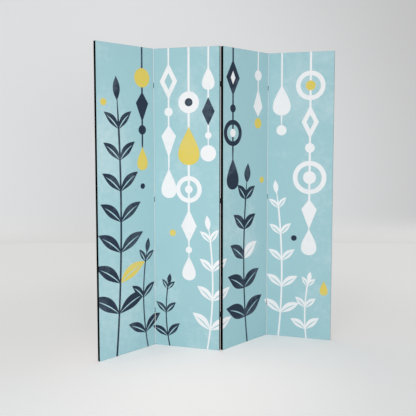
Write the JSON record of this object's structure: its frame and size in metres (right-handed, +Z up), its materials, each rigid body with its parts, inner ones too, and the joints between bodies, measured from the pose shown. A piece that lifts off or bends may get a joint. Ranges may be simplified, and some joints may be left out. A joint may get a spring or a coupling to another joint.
{
  "type": "room divider",
  "caption": "Free-standing folding screen: canvas panels on wooden frames with black taped edges, joined by two-way hinges so that each panel folds forward or back.",
  "frame": {"origin": "on the floor under the middle of the screen, at the centre of its overall box in plan", "axes": "+X to the right along the screen seen from its front, +Y from front to back, +Z up"},
  "size_m": [1.4508, 0.2244, 1.8],
  "materials": {
    "printed_canvas": "woven canvas with a matt all-over print on a light blue-green ground",
    "plain_canvas": "unprinted off-white woven canvas, matt",
    "edge_tape": "black woven tape, matt",
    "frame_wood": "planed softwood, unfinished",
    "dowel_wood": "fluted hardwood, unfinished",
    "hinge_metal": "black powder coat, satin",
    "pin_steel": "bright drawn steel",
    "screw_metal": "blackened steel, satin"
  },
  "bodies": {
    "panel_1": {"panel_1_left_stile": "frame_wood", "panel_1_right_stile": "frame_wood", "panel_1_top_rail": "frame_wood", "panel_1_bottom_rail": "frame_wood", "panel_1_cross_rails": "frame_wood", "panel_1_dowels": "dowel_wood", "panel_1_front_canvas": "printed_canvas", "panel_1_back_canvas": "plain_canvas", "panel_1_side_tapes": "edge_tape", "panel_1_end_tapes": "edge_tape", "fold_1_left_leaves": "hinge_metal", "fold_1_left_screws": "screw_metal"},
    "panel_2": {"panel_2_left_stile": "frame_wood", "panel_2_right_stile": "frame_wood", "panel_2_top_rail": "frame_wood", "panel_2_bottom_rail": "frame_wood", "panel_2_cross_rails": "frame_wood", "panel_2_dowels": "dowel_wood", "panel_2_front_canvas": "printed_canvas", "panel_2_back_canvas": "plain_canvas", "panel_2_side_tapes": "edge_tape", "panel_2_end_tapes": "edge_tape", "fold_2_left_leaves": "hinge_metal", "fold_2_left_screws": "screw_metal", "fold_1_right_leaves": "hinge_metal", "fold_1_right_screws": "screw_metal"},
    "panel_3": {"panel_3_left_stile": "frame_wood", "panel_3_right_stile": "frame_wood", "panel_3_top_rail": "frame_wood", "panel_3_bottom_rail": "frame_wood", "panel_3_cross_rails": "frame_wood", "panel_3_dowels": "dowel_wood", "panel_3_front_canvas": "printed_canvas", "panel_3_back_canvas": "plain_canvas", "panel_3_side_tapes": "edge_tape", "panel_3_end_tapes": "edge_tape", "fold_3_left_leaves": "hinge_metal", "fold_3_left_screws": "screw_metal", "fold_2_right_leaves": "hinge_metal", "fold_2_right_screws": "screw_metal"},
    "panel_4": {"panel_4_left_stile": "frame_wood", "panel_4_right_stile": "frame_wood", "panel_4_top_rail": "frame_wood", "panel_4_bottom_rail": "frame_wood", "panel_4_cross_rails": "frame_wood", "panel_4_dowels": "dowel_wood", "panel_4_front_canvas": "printed_canvas", "panel_4_back_canvas": "plain_canvas", "panel_4_side_tapes": "edge_tape", "panel_4_end_tapes": "edge_tape", "fold_3_right_leaves": "hinge_metal", "fold_3_right_screws": "screw_metal"},
    "fold_1_link": {"fold_1_links": "hinge_metal", "fold_1_pins": "pin_steel"},
    "fold_2_link": {"fold_2_links": "hinge_metal", "fold_2_pins": "pin_steel"},
    "fold_3_link": {"fold_3_links": "hinge_metal", "fold_3_pins": "pin_steel"}
  },
  "joints": [
    {"name": "fold_1_back_pins", "type": "hinge", "parent": "panel_2", "child": "fold_1_link", "pos_m": [-0.35265, 0.11107, 0.9], "axis": [0, 0, -1], "range_deg": [0, 180]},
    {"name": "fold_1_front_pins", "type": "hinge", "parent": "fold_1_link", "child": "panel_1", "pos_m": [-0.36335, 0.09253, 0.9], "axis": [0, 0, 1], "range_deg": [-60, 120]},
    {"name": "fold_2_front_pins", "type": "hinge", "parent": "panel_2", "child": "fold_2_link", "pos_m": [-0.0107, -0.11107, 0.9], "axis": [0, 0, -1], "range_deg": [0, 180]},
    {"name": "fold_2_back_pins", "type": "hinge", "parent": "fold_2_link", "child": "panel_3", "pos_m": [0, -0.09253, 0.9], "axis": [0, 0, 1], "range_deg": [-60, 120]},
    {"name": "fold_3_front_pins", "type": "hinge", "parent": "panel_3", "child": "fold_3_link", "pos_m": [0.36335, 0.09253, 0.9], "axis": [0, 0, -1], "range_deg": [-60, 120]},
    {"name": "fold_3_back_pins", "type": "hinge", "parent": "fold_3_link", "child": "panel_4", "pos_m": [0.37405, 0.11107, 0.9], "axis": [0, 0, 1], "range_deg": [0, 180]}
  ]
}
